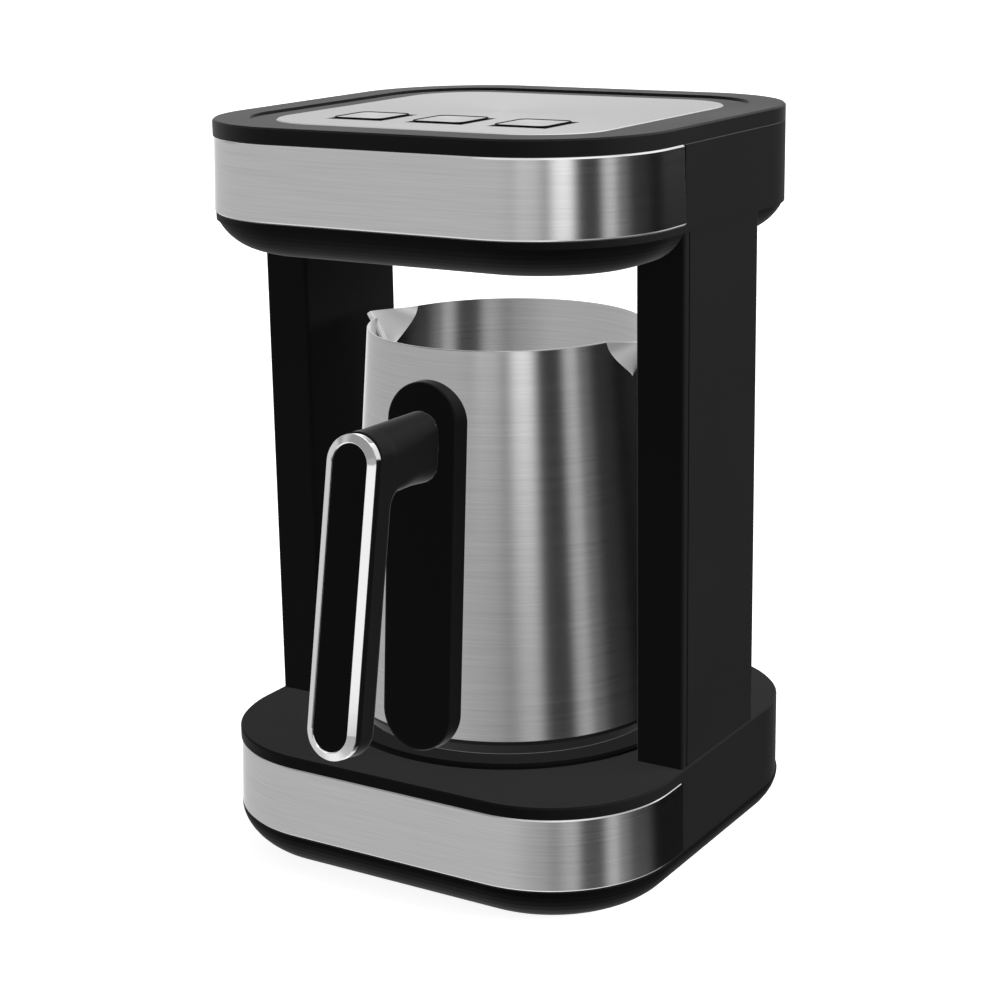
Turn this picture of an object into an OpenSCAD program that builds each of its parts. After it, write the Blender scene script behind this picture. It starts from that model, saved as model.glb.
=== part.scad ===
/* [Body] */
// Width of the base and the head
body_w = 170; // [150:1:190]
// Depth of the base and the head
body_d = 168; // [148:1:188]
// Height from the table to the top rim
body_h = 263.5; // [240:0.5:290]
// Corner radius of the base and the head
corner_r = 45.5; // [38:0.5:55]
// Wall of the plastic housings
shell_t = 3; // [2:0.1:3.6]
// Taper of each steel band, outwards from its top to its bottom
band_flare = 0.8; // [0:0.1:1.2]
// Sheet of the steel bands
band_t = 1.1; // [1:0.1:1.5]
// Bevel along the upper and lower edges of the steel bands
band_bevel = 0.5; // [0.2:0.05:0.6]
// Distance of the ends of the steel bands ahead of the middle
band_end = 28.3; // [20:0.5:36]

/* [Base] */
// Height of the feet
foot_h = 1.5; // [1:0.1:3]
// Radius of a foot
foot_r = 8; // [6:0.5:10]
// Top face of the base above the table
base_h = 44.8; // [40:0.1:56]
// Lower edge of the base band above the table
base_band_z = 15.1; // [13:0.1:18]
// Lip of the cover above the base band
cover_lip = 4.2; // [3:0.1:6]
// Thickness of the cover's top
cover_t = 2.5; // [2:0.1:3.5]
// Thickness of the tray's floor
tray_t = 2.4; // [1.8:0.1:3.2]
// How far the tray's edge curls in below
tray_curl = 12.6; // [8:0.1:15]
// Height of the seat that the pot stands on, above the base
seat_h = 1.9; // [1:0.1:3]
// Gap between the seat and the columns
seat_gap = 1.5; // [0.5:0.1:4]
// Radius of the cord's hole in the gland
cord_r = 3.6; // [2.5:0.1:4.2]

/* [Columns] */
// Thickness of a column
col_t = 17.8; // [15:0.1:20]
// Depth of a column, front to back
col_d = 56; // [48:1:64]
// How far a column stands in from the side of the body
col_inset = 0.4; // [0:0.1:1.5]
// Wall of a column and of its cover
col_wall = 2.2; // [1.6:0.1:3]
// Rounding of a column's upright edges
col_edge = 1.2; // [0.5:0.1:2]
// Width of the column's own edge ahead of its cover
col_lap = 3.2; // [2.6:0.1:6]
// Width of the groove between a column and its cover
cover_groove = 0.7; // [0.3:0.1:1]
// Radius of the tie rods
rod_r = 2; // [1.5:0.1:2.5]
// Distance of the tie rods from the middle of a column
rod_y = 17; // [14:0.5:18]

/* [Head] */
// Height of the steel band of the head
head_band_h = 25.5; // [20:0.1:32]
// Height of the top frame above the band
cap_h = 5.5; // [4.5:0.1:8]
// Lip of the head's shell below the band
head_lip = 2.6; // [1.5:0.1:4]
// Depth of the dished underside below the shell
bowl_h = 10.9; // [8:0.1:16]
// How far the dish rounds in from the side
bowl_in = 18; // [14:0.5:20]
// Angle from upright at which the dish leaves the shell
bowl_start = 25; // [0:1:40]
// Wall of the dish
bowl_t = 2.2; // [1.6:0.1:3]
// Width of the top frame's flat rim
rim_w = 12.5; // [9:0.1:16]
// Step from the rim down to the ledge round the panel
rim_step = 1.1; // [0.5:0.1:1.6]
// Distance of the panel's edge from the body's edge
panel_in = 21.8; // [19:0.1:26]
// Thickness of the steel control panel
panel_t = 1.4; // [1:0.1:1.8]
// How far the panel stands above the ledge
panel_up = 0.3; // [0:0.1:0.5]

/* [Keys] */
// Side of a square key
key_w = 20.3; // [16:0.1:24]
// Corner radius of a key
key_r = 3.5; // [1:0.1:5]
// Gap round a key
key_gap = 0.6; // [0.3:0.05:0.9]
// Distance between keys
key_pitch = 32; // [28:0.5:36]
// Distance of the keys' middles ahead of the pot's axis
key_y = 33.7; // [24:0.1:40]
// Travel of a key
key_travel = 1.2; // [0.6:0.1:1.5]

/* [Pot] */
// Height of the pot, from the seat to the rim
pot_h = 141.2; // [120:0.1:155]
// Outer radius of the pot at its rim
rim_r = 49.6; // [42:0.1:54]
// Outer radius of the steel at its lower edge
foot_rad = 59.8; // [52:0.1:62]
// Sheet of the pot
pot_t = 0.8; // [0.6:0.1:1.2]
// Height of the black ring below the steel
ring_h = 6; // [4:0.1:9]
// Height of the pot's inner floor above the seat
floor_up = 16.8; // [14:0.1:24]
// Thickness of the pot's floor
floor_t = 1; // [0.8:0.1:2]
// Width of a spout where it leaves the rim
spout_w = 27.6; // [20:0.2:32]
// Depth of a spout below the rim
spout_h = 14.2; // [10:0.1:20]
// How far a spout stands out from the wall
spout_out = 9.9; // [6:0.1:12]
// How far a spout's tip lies below the rim
tip_drop = 1.2; // [0:0.1:3]

/* [Handle] */
// Length of the plate on the pot
plate_len = 130.6; // [110:0.2:136]
// Width of the plate's face
plate_w = 27.6; // [22:0.1:32]
// Thickness of the plate in its middle
plate_t = 5; // [4:0.1:8]
// Height of the plate's lower end above the seat
plate_up = 1.1; // [0.6:0.1:6]
// Top of the arm above the seat
arm_up = 122; // [110:0.5:132]
// Height of the arm
arm_h = 27; // [24:0.5:30]
// Width of the arm
arm_w = 17; // [14:0.5:19]
// Distance from the plate's face to the grip's face
arm_len = 42.3; // [36:0.1:60]
// Length of the grip
grip_len = 107.5; // [90:0.5:115]
// Width of the grip
grip_w = 19.7; // [17:0.1:24]
// Depth of the grip, front to back
grip_d = 13.5; // [10.5:0.1:18]
// Lean of the grip away from the pot, downwards
grip_tilt = 10.5; // [4:0.5:14]
// Width of the bright ring round the inlay
trim_w = 2.9; // [2:0.05:4]
// Depth of the bright ring
trim_d = 4; // [3:0.1:5]
// Fall of the bright ring's face from its inner to its outer edge
trim_fall = 1.4; // [0.8:0.1:1.8]

/* [Fits] */
// Clearance between a fixed piece and its seat
fit = 0.05; // [0.02:0.01:0.1]
// Visible seam between two housing pieces
seam = 0.3; // [0.2:0.05:0.5]
// Radial clearance of a plunger in its switch
slide_fit = 0.08; // [0.03:0.01:0.1]
// Gap between the pot's foot and the seat
stand_gap = 0.05; // [0.02:0.01:0.1]
// Room round each column in the dish
notch_gap = 0.2; // [0.1:0.05:0.5]

/* [Hidden] */
$fn = 96;

// Heights of the stack, from the table up
tray_z = foot_h;
floor_z = tray_z + tray_t;
tray_top = base_band_z - seam;
cover_band_top = base_h - cover_lip;
cover_under = base_h - cover_t;
seat_z = base_h + seat_h;
seat_sink = 1.3;
cap_z = body_h - cap_h;
head_top = cap_z - seam;
head_z = head_top - head_band_h;
head_low = head_z - head_lip;
head_floor = head_low + 2.5;
bowl_top = head_low - fit;
bowl_z = bowl_top - bowl_h;
ledge_z = body_h - rim_step;
panel_top = ledge_z + panel_up;
panel_z = panel_top - panel_t;

// Plan of the columns and what stands between them
col_out = body_w / 2 - col_inset;
col_in = col_out - col_t;
col_x = (col_out + col_in) / 2;
seat_r = col_in - seat_gap;
recess_t = band_t + 0.1;

// Pot
pot_z = seat_z + stand_gap;
rim_z = seat_z + pot_h;
skirt_z = pot_z + ring_h;
pot_floor = seat_z + floor_up;
function wall_r(z) = foot_rad + (rim_r - foot_rad) * (z - skirt_z) / (rim_z - skirt_z);
wall_lean = atan((foot_rad - rim_r) / (rim_z - skirt_z));
foot_top_r = foot_rad - 0.6;
foot_low_r = foot_rad - 3.8;
heat_t = 3;
heat_z = pot_floor - floor_t - heat_t;
heat_r = 46;
tube_r = 3;
tube_ring = 36;
foot_t = 2;
pot_screw_ring = 22;
contact_ring = 7;
contact_r = 1.8;
stud_gap = 4;

// Handle: the plate lies along the wall, and the grip leans about the arm's middle
plate_c = seat_z + plate_up + plate_len / 2 * cos(wall_lean);
plate_y = wall_r(plate_c) + plate_t;
arm_z = seat_z + arm_up - arm_h / 2;
arm_face = plate_y + (plate_c - arm_z) * tan(wall_lean);
grip_y = arm_face + arm_len;
grip_r = grip_w / 2;
inlay_r = grip_r - trim_w;
grip_span = grip_len - grip_w;
trim_soft = 0.25;
screw_r = 2;
screw_head_r = 3.8;
bracket_t = 2;
bracket_w = 15;
bracket_h = 36;

// Electrical pieces
board_t = 1.6;
ctrl_z = panel_z - 11;
ctrl_w = 112;
ctrl_d = 58;
ctrl_y = 8 - ctrl_d / 2;
stud_x = ctrl_w / 2 - 5;
stud_r = 2;
switch_h = 3.8;
switch_w = 12;
plunger_r = 2.2;
plunger_up = 1.6;
plunger_in = 0.6;
key_top = panel_top - 0.1;
flange_top = panel_z - 0.1;
flange_t = 2;
key_lap = 1.9;
power_z = floor_z + 6;
power_w = 54;
power_d = 42;
power_y = 47;
post_r = 2.6;
block_r = 12;
block_flange = 15;
block_z = base_h - 10.3;
gland_z = base_band_z + 10;
gland_r = 5.5;
gland_lip = 2.6;
rod_low = base_h - 18.3;
rod_block = 6.5;
nut_h = 3.2;
loom_r = 3;
foot_in = 29;
foot_sink = 1.2;
boss_r = 5;
boss_z = base_band_z + 4.4;
base_screw_x = 34;
base_screw_y = 66;
base_screw_r = 1.5;
base_screw_head = 3;
base_head_z = 8;
bowl_screw_x = 46;
bowl_screw_y = 66;
bowl_screw_r = 1.4;
board_screw_r = 1.2;
board_screw_in = 4;
lens_r = 7;
lens_flange = 1.5;
sensor_post = 11;
relay_w = 16;
relay_d = 14;
relay_h = 15;
coil_w = 20;
coil_d = 16;
coil_h = 15;
can_r = 4;
can_h = 11;

// The frame's origin is on the table, halfway between the grip's front and the gland's back
front_y = grip_y + (grip_len - arm_h / 2 - trim_w + trim_soft) * sin(grip_tilt);
back_y = body_d / 2 + gland_lip;
module place() translate([0, (front_y - back_y) / 2, 0]) children();

// Points on an arc of an ellipse
function arc(cx, cz, rx, rz, a0, a1, n) =
    [for (i = [0:n]) let (t = a0 + (a1 - a0) * i / n) [cx + rx * cos(t), cz + rz * sin(t)]];
// A section closed at its axis, and one mirrored across the middle of a straight run
function closed(pts) = concat([[0, pts[0][1]]], pts, [[0, pts[len(pts) - 1][1]]]);
function both(h, pts) = concat([for (p = pts) [h + p[0], p[1]]],
    [for (i = [len(pts) - 1:-1:0]) [-h - pts[i][0], pts[i][1]]]);

// A rounded rectangle whose edge follows pts, each [radius at the corner, height]
module rr_body(w, d, r, pts) {
    a = w / 2 - r;
    b = d / 2 - r;
    rotate([90, 0, 90]) linear_extrude(2 * a, center = true) polygon(both(b, pts));
    for (s = [0, 1]) mirror([s, 0, 0]) {
        translate([a, 0, 0]) rotate([90, 0, 0])
            linear_extrude(2 * b, center = true) polygon(closed(pts));
        for (k = [0, 1]) mirror([0, k, 0]) translate([a, b, 0])
            rotate_extrude(angle = 90) polygon(closed(pts));
    }
}
module rr_flat(w, d, r) {
    a = w / 2 - r;
    b = d / 2 - r;
    square([2 * a, d], center = true);
    square([w, 2 * b], center = true);
    for (x = [-a, a], y = [-b, b]) translate([x, y]) circle(r);
}
// The body's outline drawn in by "off", from z0 to z1
module slab(off, z0, z1) {
    translate([0, 0, z0]) linear_extrude(z1 - z0)
        rr_flat(body_w - 2 * off, body_d - 2 * off, corner_r - off);
}
// A stadium along Z, with its section pts as [half width, depth], the depth along +Y
module pill(span, pts) {
    translate([0, 0, -span / 2]) linear_extrude(span) polygon(both(0, pts));
    for (k = [0, 1]) mirror([0, 0, k]) translate([0, 0, -span / 2])
        rotate([-90, 0, 0]) rotate_extrude(angle = 180) polygon(closed(pts));
}
module pill_ring(span, pts) {
    for (s = [0, 1]) mirror([s, 0, 0]) translate([0, 0, -span / 2])
        linear_extrude(span) polygon(pts);
    for (k = [0, 1]) mirror([0, 0, k]) translate([0, 0, -span / 2])
        rotate([-90, 0, 0]) rotate_extrude(angle = 180) polygon(pts);
}
module rod(r, z0, z1) { translate([0, 0, z0]) cylinder(h = z1 - z0, r = r); }
module at4(x, y) { for (i = [-x, x], j = [-y, y]) translate([i, j, 0]) children(); }
module at3(r) { for (a = [90, 210, 330]) rotate(a) translate([r, 0, 0]) children(); }
module box(x0, x1, y0, y1, z0, z1) {
    translate([x0, y0, z0]) cube([x1 - x0, y1 - y0, z1 - z0]);
}

// Steel band round the front, from z0 to z1, and the recess that takes it
module band(z0, z1) {
    c = band_bevel;
    low = corner_r + band_flare / 2;
    top = corner_r - band_flare / 2;
    difference() {
        rr_body(body_w, body_d, corner_r, [[low - c, z0], [low, z0 + c],
            [top, z1 - c], [top - c, z1]]);
        slab(band_t, z0 - 1, z1 + 1);
        box(-body_w, body_w, -band_end, body_d, z0 - 1, z1 + 1);
    }
}
module band_recess(z0, z1) {
    difference() {
        slab(-2, z0, z1);
        slab(recess_t, z0 - 1, z1 + 1);
        box(-body_w, body_w, -band_end + 0.2, body_d, z0 - 1, z1 + 1);
    }
}

// ---- Base ----
tray_edge = corner_r + 0.5;
tray_lip = 0.5;
curl_power = 1.25;
// The tray's curled outline, drawn in by "in" all over, and run up to z1
function tray_curve(in, z1) = concat([[tray_edge - in - tray_curl - 1, tray_z + in]],
    [for (i = [0:9]) let (a = 10 * i) [tray_edge - in - tray_curl * (1 - pow(sin(a), curl_power)),
        tray_z + in + (tray_top - tray_lip - tray_z - in) * (1 - pow(cos(a), curl_power))]],
    [[tray_edge - in, z1]]);
module at_feet() at4(body_w / 2 - foot_in, body_d / 2 - foot_in) children();
module at_power() translate([0, power_y, 0])
    at4(power_w / 2 - board_screw_in, power_d / 2 - board_screw_in) children();
module base_tray() color("#1b1b1b") difference() {
    union() {
        difference() {
            rr_body(body_w, body_d, corner_r, tray_curve(0, tray_top));
            rr_body(body_w, body_d, corner_r, tray_curve(tray_t, tray_top + 1));
        }
        at4(base_screw_x, base_screw_y) rod(boss_r, tray_z, boss_z);
        rod(block_r + 1, tray_z, block_z);
        at_power() rod(post_r, tray_z, power_z);
    }
    at4(base_screw_x, base_screw_y) {
        rod(base_screw_head + 0.3, 0, base_head_z);
        rod(base_screw_r + fit, 0, boss_z + 1);
    }
    rod(block_r - 1.4, floor_z, block_z + 1);
    at_feet() rod(foot_r + fit, 0, tray_z + foot_sink);
    at_power() rod(board_screw_r + fit, floor_z, power_z + 1);
}
module base_cover() color("#1f1f1f") difference() {
    union() {
        difference() {
            rr_body(body_w, body_d, corner_r, [[corner_r, tray_top],
                [corner_r, base_h - 0.6], [corner_r - 0.6, base_h]]);
            slab(shell_t, tray_top - 1, cover_under);
            band_recess(tray_top - 1, cover_band_top);
        }
        at4(base_screw_x, base_screw_y) rod(boss_r, boss_z, cover_under + 1);
        for (x = [-1, 1], y = [-rod_y, rod_y]) translate([x * col_x, y, 0])
            box(-rod_block, rod_block, -rod_block, rod_block, rod_low + 5, cover_under + 1);
    }
    rod(seat_r + fit, base_h - seat_sink, base_h + 1);
    rod(block_r + fit, 0, base_h);
    at4(base_screw_x, base_screw_y) rod(base_screw_r + fit, boss_z - 1, boss_z + 12);
    at4(col_x, rod_y) rod(rod_r + fit, rod_low, base_h + 1);
    translate([col_x, 0, 0]) rod(loom_r + 0.2, rod_low, base_h + 1);
    translate([0, body_d / 2 + 1, gland_z]) rotate([90, 0, 0])
        cylinder(h = shell_t + 2, r = gland_r + fit);
}
module base_band() color("#c9c9c9") band(base_band_z, cover_band_top - seam);
module feet() color("#2b2b2b") at_feet()
    rotate_extrude() polygon([[0, 0], [foot_r - 1, 0], [foot_r, 1],
        [foot_r, tray_z + foot_sink - fit], [0, tray_z + foot_sink - fit]]);
module base_screws() color("#9a9a9a") at4(base_screw_x, base_screw_y) {
    rod(base_screw_head, base_head_z - 2.4, base_head_z);
    rod(base_screw_r, base_head_z - 1, boss_z + 10);
}
module pot_seat() color("#161616") difference() {
    rotate_extrude() polygon([[0, base_h - seat_sink], [seat_r, base_h - seat_sink],
        [seat_r, seat_z - 0.8], [seat_r - 0.8, seat_z], [0, seat_z]]);
    rod(block_r + fit, base_h - 5, seat_z + 1);
}
module contact_block() color("#3a3a3a") difference() {
    union() {
        rod(block_flange, block_z, cover_under);
        rod(block_r, block_z, seat_z);
    }
    at3(contact_ring) rod(contact_r + fit, block_z - 1, seat_z + 1);
}
module contact_pins() color("#c8a24a") at3(contact_ring) rod(contact_r, block_z - 6, seat_z);
board_top = power_z + board_t;
module power_board() color("#2e6b3a") difference() {
    translate([0, power_y, power_z]) box(-power_w / 2, power_w / 2, -power_d / 2, power_d / 2,
        0, board_t);
    at_power() rod(board_screw_r + fit, 0, power_z + 5);
}
module relay() color("#2f5f9a")
    translate([3 - power_w / 4 - relay_w / 2, power_y - power_d / 4 - relay_d / 2, board_top])
        cube([relay_w, relay_d, relay_h]);
module transformer() color("#b58b3a") translate([power_w / 5, power_y + power_d / 8, board_top]) {
    box(-coil_w / 2, coil_w / 2, -coil_d / 2, coil_d / 2, 0, coil_h / 4);
    box(-coil_w / 2 + 2, coil_w / 2 - 2, -coil_d / 2 + 2, coil_d / 2 - 2, coil_h / 4, coil_h);
}
module capacitors() color("#3a3f52") for (i = [0, 1])
    translate([-power_w / 4 - can_r + i * 3 * can_r, power_y + power_d / 4, 0])
        rod(can_r, board_top, board_top + can_h);
module power_board_screws() color("#9a9a9a") at_power() {
    rod(board_screw_r, floor_z + 1, board_top + 0.5);
    rod(2.3, board_top, board_top + 1.5);
}
module cord_gland() color("#141414") translate([0, body_d / 2, gland_z]) rotate([90, 0, 0])
    rotate_extrude() polygon([[cord_r, -gland_lip], [gland_r + 1.6, -gland_lip],
        [gland_r + 2.5, 1 - gland_lip],
        [gland_r + 2.5, 0], [gland_r, 0], [gland_r, shell_t], [gland_r + 1, shell_t],
        [gland_r + 1, shell_t + 3], [cord_r, shell_t + 3]]);

// ---- Columns ----
module column_shape() {
    translate([col_x, 0, base_h]) linear_extrude(head_low - base_h)
        rr_flat(col_t, col_d, col_edge);
}
// Room of the right column's cover: its outer side and its back
module cover_zone(gap, groove, back_gap) {
    back = col_d / 2;
    box(col_out - col_wall - gap, col_out + 1, col_lap + groove - back, back + 1, 0, body_h);
    box(col_in + col_wall + back_gap, col_out + 1, back - col_wall - gap, back + 1, 0, body_h);
}
web = rod_r + 2.4;
module column() color("#222222") difference() {
    column_shape();
    cover_zone(fit, 0, 0);
    for (y = [[-col_d / 2 + col_wall, -rod_y - web], [-rod_y + web, rod_y - web],
        [rod_y + web, col_d / 2]])
        box(col_in + col_wall, col_out - col_wall, y[0], y[1], 0, body_h);
    for (y = [-rod_y, rod_y]) translate([col_x, y, 0]) rod(rod_r + fit, 0, body_h);
}
module column_cover() color("#222222") intersection() {
    column_shape();
    cover_zone(0, cover_groove, seam);
}
module column_right() column();
module column_left() mirror([1, 0, 0]) column();
module column_cover_right() column_cover();
module column_cover_left() mirror([1, 0, 0]) column_cover();
module tie_rods() color("#a8a8a8") at4(col_x, rod_y) rod(rod_r, rod_low, head_floor + 5);
module tie_nuts() color("#8f8f8f") at4(col_x, rod_y) for (z = [rod_low + 5 - nut_h, head_floor])
    difference() {
        translate([0, 0, z]) cylinder(h = nut_h, r = rod_r * 2, $fn = 6);
        rod(rod_r + fit, 0, body_h);
    }
module wire_loom() color("#50505a") translate([col_x, 0, 0])
    rod(loom_r, rod_low + 1, head_floor + 6);

// ---- Head ----
module head_shell() color("#1f1f1f") difference() {
    slab(0, head_low, head_top);
    slab(shell_t, head_floor, head_top + 1);
    slab(panel_in, head_low - 1, head_floor + 1);
    band_recess(head_z - seam, head_top + 1);
    at4(col_x, rod_y) rod(rod_r + fit, head_low - 1, head_floor + 1);
    translate([col_x, 0, 0]) rod(loom_r + 0.2, head_low - 1, head_floor + 1);
    at4(bowl_screw_x, bowl_screw_y) rod(bowl_screw_r + fit, head_low - 1, head_floor + 1);
}
module head_band() color("#c9c9c9") band(head_z, head_top);
// The dish's edge is part of an ellipse that leaves the shell at bowl_start and ends level
bowl_rx = (bowl_in - 0.5) / cos(bowl_start);
bowl_rz = bowl_h / (1 - sin(bowl_start));
module dish(t) rr_body(body_w, body_d, corner_r,
    arc(corner_r - bowl_in, bowl_z + bowl_rz, bowl_rx - t, bowl_rz - t, -90, -bowl_start, 10));
module head_bowl() color("#181818") difference() {
    union() {
        difference() {
            dish(0);
            dish(bowl_t);
        }
        difference() {
            slab(panel_in + fit, bowl_z + 1, head_floor);
            slab(panel_in + fit + 2, bowl_z, head_floor + 1);
        }
        at4(bowl_screw_x, bowl_screw_y) rod(4.2, bowl_z + 1.5, head_low);
        for (x = [-sensor_post, sensor_post]) translate([x, 0, 0]) rod(2, bowl_z + 1, bowl_z + 7.5);
    }
    for (x = [-1, 1]) translate([x * (col_out + 5), 0, bowl_z])
        box(-(col_t + 5) - notch_gap, (col_t + 5) + notch_gap, -col_d / 2 - notch_gap,
            col_d / 2 + notch_gap, -1, body_h);
    at4(bowl_screw_x, bowl_screw_y) rod(bowl_screw_r + fit, head_low - 7, head_low + 1);
    rod(lens_r + fit, bowl_z - 1, bowl_z + bowl_t + 1);
}
module bowl_screws() color("#9a9a9a") at4(bowl_screw_x, bowl_screw_y) {
    rod(bowl_screw_r, head_low - 6, head_floor + 0.5);
    rod(2 * bowl_screw_r, head_floor, head_floor + 2);
}
module sensor_window() color("#3c1218") {
    rod(lens_r, bowl_z, bowl_z + bowl_t);
    rod(lens_r + lens_flange, bowl_z + bowl_t, bowl_z + bowl_t + 1.2);
}
module sensor_board() color("#2e6b3a")
    box(-sensor_post - 3, sensor_post + 3, -9, 9, bowl_z + 7.5, bowl_z + 8.7);
module sensor_diodes() color("#6a6a80") for (y = [-4, 4]) translate([0, y, 0]) {
    rod(2.4, bowl_z + 5.6, bowl_z + 7.5);
    translate([0, 0, bowl_z + 5.6]) sphere(1.9);
}
module top_frame() color("#242424") difference() {
    union() {
        rr_body(body_w, body_d, corner_r, [[corner_r, cap_z], [corner_r, body_h - 0.6],
            [corner_r - 0.6, body_h]]);
        slab(shell_t + 0.1, cap_z - 5, cap_z + 1);
    }
    slab(rim_w, ledge_z, body_h + 1);
    slab(panel_in - fit, panel_z, body_h + 1);
    slab(panel_in + 4, cap_z - 6, body_h);
    slab(shell_t + 2.1, cap_z - 6, cap_z);
}
panel_r = corner_r - panel_in;
module key_hole(z0, z1) {
    w = key_w + 2 * key_gap;
    for (i = [-1, 0, 1]) translate([i * key_pitch, -key_y, z0])
        linear_extrude(z1 - z0) rr_flat(w, w, 0.5);
}
module control_panel() color("#d2d2d2") difference() {
    union() {
        rr_body(body_w - 2 * panel_in, body_d - 2 * panel_in, panel_r,
            [[panel_r, panel_z], [panel_r, panel_top - 0.3], [panel_r - 0.3, panel_top]]);
        translate([0, ctrl_y, 0]) at4(stud_x, ctrl_d / 2 - 4)
            rod(stud_r, ctrl_z + board_t, panel_z + 0.5);
        translate([0, ctrl_y, 0]) at4(stud_x, ctrl_d / 2 - 4)
            rod(1.2, ctrl_z - 3, ctrl_z + board_t + 1);
    }
    key_hole(panel_z - 1, panel_top + 1);
}
module control_board() color("#2e6b3a") translate([0, ctrl_y, 0]) difference() {
    box(-ctrl_w / 2, ctrl_w / 2, -ctrl_d / 2, ctrl_d / 2, ctrl_z, ctrl_z + board_t);
    at4(stud_x, ctrl_d / 2 - 4) rod(1.2 + fit, ctrl_z - 1, ctrl_z + 5);
}
module board_nuts() color("#8f8f8f") translate([0, ctrl_y, 0])
    at4(stud_x, ctrl_d / 2 - 4) difference() {
        translate([0, 0, ctrl_z - 2]) cylinder(h = 2, r = 2.6, $fn = 6);
        rod(1.2 + fit, ctrl_z - 3, ctrl_z + 1);
    }
switch_top = ctrl_z + board_t + switch_h;
module switch_bodies() color("#2c2c30") for (i = [-1, 0, 1])
    translate([i * key_pitch, -key_y, 0]) difference() {
        box(-switch_w / 2, switch_w / 2, -switch_w / 2, switch_w / 2, ctrl_z + board_t,
            switch_top);
        rod(plunger_r + slide_fit, switch_top - plunger_in - key_travel - 0.2, switch_top + 1);
    }
module buzzer() color("#202024") translate([22, 0, 0]) difference() {
    rod(6, ctrl_z + board_t, ctrl_z + board_t + 7);
    rod(1, ctrl_z + board_t + 5, ctrl_z + board_t + 8);
}
module controller_chip() color("#26262a") translate([-14, -4, ctrl_z + board_t])
    box(-6, 6, -5, 5, 0, 1.4);
module key(i) color("#cfcfcf") translate([i * key_pitch, -key_y, 0]) {
    rr_body(key_w, key_w, key_r, [[key_r, flange_top - 1], [key_r, key_top - 0.3],
        [key_r - 0.3, key_top]]);
    w = key_w + 2 * key_lap;
    translate([0, 0, flange_top - flange_t]) linear_extrude(flange_t) rr_flat(w, w, key_r);
    rod(3, switch_top + plunger_up, flange_top - 1);
}
module plunger(i) color("#5a5a5e") translate([i * key_pitch, -key_y, 0])
    rod(plunger_r, switch_top - plunger_in, switch_top + plunger_up);
module key_left() key(-1);
module key_middle() key(0);
module key_right() key(1);
module plunger_left() plunger(-1);
module plunger_middle() plunger(0);
module plunger_right() plunger(1);

// ---- Pot ----
// Cut of the spouts through the wall: half width at the height "u" from 0 to 1
function spout_half(u) = spout_w / 2 * sin(90 * u);
spout_z = rim_z - spout_h;
spout_n = 10;
module spout_cut(off) {
    s = (spout_w / 2 - off) / (spout_w / 2);
    edge = [for (i = [0:spout_n]) [s * spout_half(i / spout_n),
        spout_z + off + (spout_h - off) * i / spout_n]];
    rotate([90, 0, 90]) linear_extrude(4 * foot_rad, center = true)
        polygon(concat([for (p = edge) p], [[edge[spout_n][0], rim_z + 5],
            [-edge[spout_n][0], rim_z + 5]],
            [for (i = [spout_n:-1:1]) [-edge[i][0], edge[i][1]]]));
}
module pot_body() color("#cfd0d2") difference() {
    fz = pot_floor;
    rotate_extrude() polygon([[0, fz - floor_t], [wall_r(fz) - pot_t - 2, fz - floor_t],
        [wall_r(fz) - pot_t, fz - floor_t], [foot_rad - pot_t, skirt_z], [foot_rad, skirt_z],
        [rim_r, rim_z - 0.3], [rim_r - 0.2, rim_z], [rim_r - pot_t + 0.2, rim_z],
        [wall_r(fz + 3) - pot_t, fz + 3], [wall_r(fz) - pot_t - 0.9, fz + 0.9],
        [wall_r(fz) - pot_t - 3, fz], [0, fz]]);
    spout_cut(pot_t);
}
// A spout is rows of three points, wall, crease and wall, run on past the wall that trims them
function spout_row(u, in) =
    let (z = spout_z + spout_h * u, q = wall_r(z), w = max(spout_half(u) - in, 0.25),
        x = sqrt(q * q - w * w), p = q + max(spout_out * pow(u, 1.15) - in * 1.1, 0.15),
        e = 0.4)
    [[x - e * (p - x) - in, -w * (1 + e), z], [p, 0, z - tip_drop * u * u],
        [x - e * (p - x) - in, w * (1 + e), z]];
module spout_solid(in, first, up) {
    rows = concat([for (i = [first:spout_n]) spout_row(i / spout_n, in)],
        up > 0 ? [[for (p = spout_row(1, in)) [p[0], p[1], rim_z + up]]] : []);
    n = len(rows) - 1;
    polyhedron([for (r = rows) for (p = r) p], concat([[0, 1, 2], [3 * n + 2, 3 * n + 1, 3 * n]],
        [for (i = [0:n - 1]) for (k = [0:2]) [3 * i + k, 3 * i + 3 + k, 3 * i + 3 + (k + 1) % 3]],
        [for (i = [0:n - 1]) for (k = [0:2]) [3 * i + k, 3 * i + 3 + (k + 1) % 3,
            3 * i + (k + 1) % 3]]));
}
module spout() color("#d4d5d7") difference() {
    spout_solid(0, 0, 0);
    spout_solid(pot_t, 1, 6);
    wall_cone(0);
}
module spout_right() spout();
module spout_left() mirror([1, 0, 0]) spout();
module pot_foot() color("#151515") difference() {
    union() {
        rotate_extrude() polygon([[0, pot_z], [foot_low_r, pot_z], [foot_low_r + 0.5, pot_z + 0.4],
            [foot_top_r - 0.5, pot_z + ring_h * 0.7], [foot_top_r, skirt_z - fit],
            [foot_rad - pot_t - 0.2, skirt_z - fit], [foot_rad - pot_t - 0.2, skirt_z + 1.5],
            [foot_rad - pot_t - 2, skirt_z + 1.5], [foot_low_r - 2, pot_z + foot_t],
            [0, pot_z + foot_t]]);
        at3(pot_screw_ring) rod(4.2, pot_z + 1, heat_z - stud_gap);
    }
    at3(contact_ring) rod(contact_r + 0.8 + fit, 0, pot_z + foot_t + 1);
    at3(pot_screw_ring) {
        rod(2.8, 0, pot_z + foot_t);
        rod(1.4 + fit, 0, heat_z);
    }
}
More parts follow.
